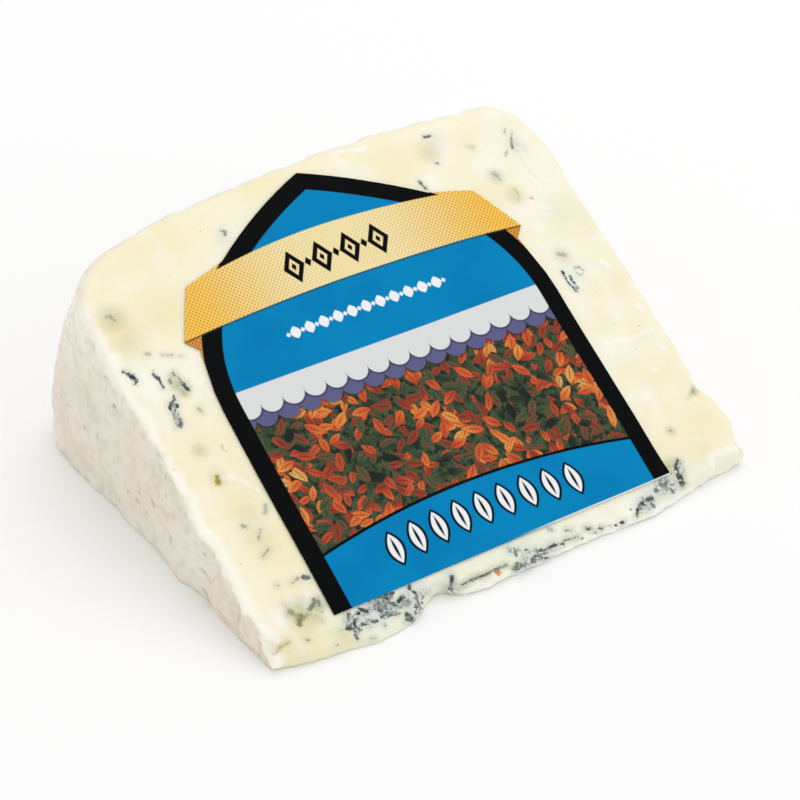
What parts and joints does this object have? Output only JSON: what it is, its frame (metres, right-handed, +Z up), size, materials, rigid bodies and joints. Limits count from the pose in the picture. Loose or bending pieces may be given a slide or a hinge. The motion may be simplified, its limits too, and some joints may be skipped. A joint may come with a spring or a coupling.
{
  "type": "blue cheese wedge",
  "caption": "Wedge of blue-veined cheese cut from a wheel, lying on one cut face, with an arched printed label on the upper cut face.",
  "frame": {"origin": "centre of the footprint on the lower cut face, at the surface that the wedge rests on", "axes": "+X along the wheel's axis, +Y from the thin tip to the wheel's crowned side, +Z up"},
  "size_m": [0.1042, 0.0948, 0.045],
  "materials": {
    "paste": "moist, softly glossy, with blue-grey mould veins and a dull rind",
    "label_print": "coated paper, semi-gloss print"
  },
  "bodies": {
    "root": {"cheese": "paste", "label": "label_print"}
  },
  "joints": []
}
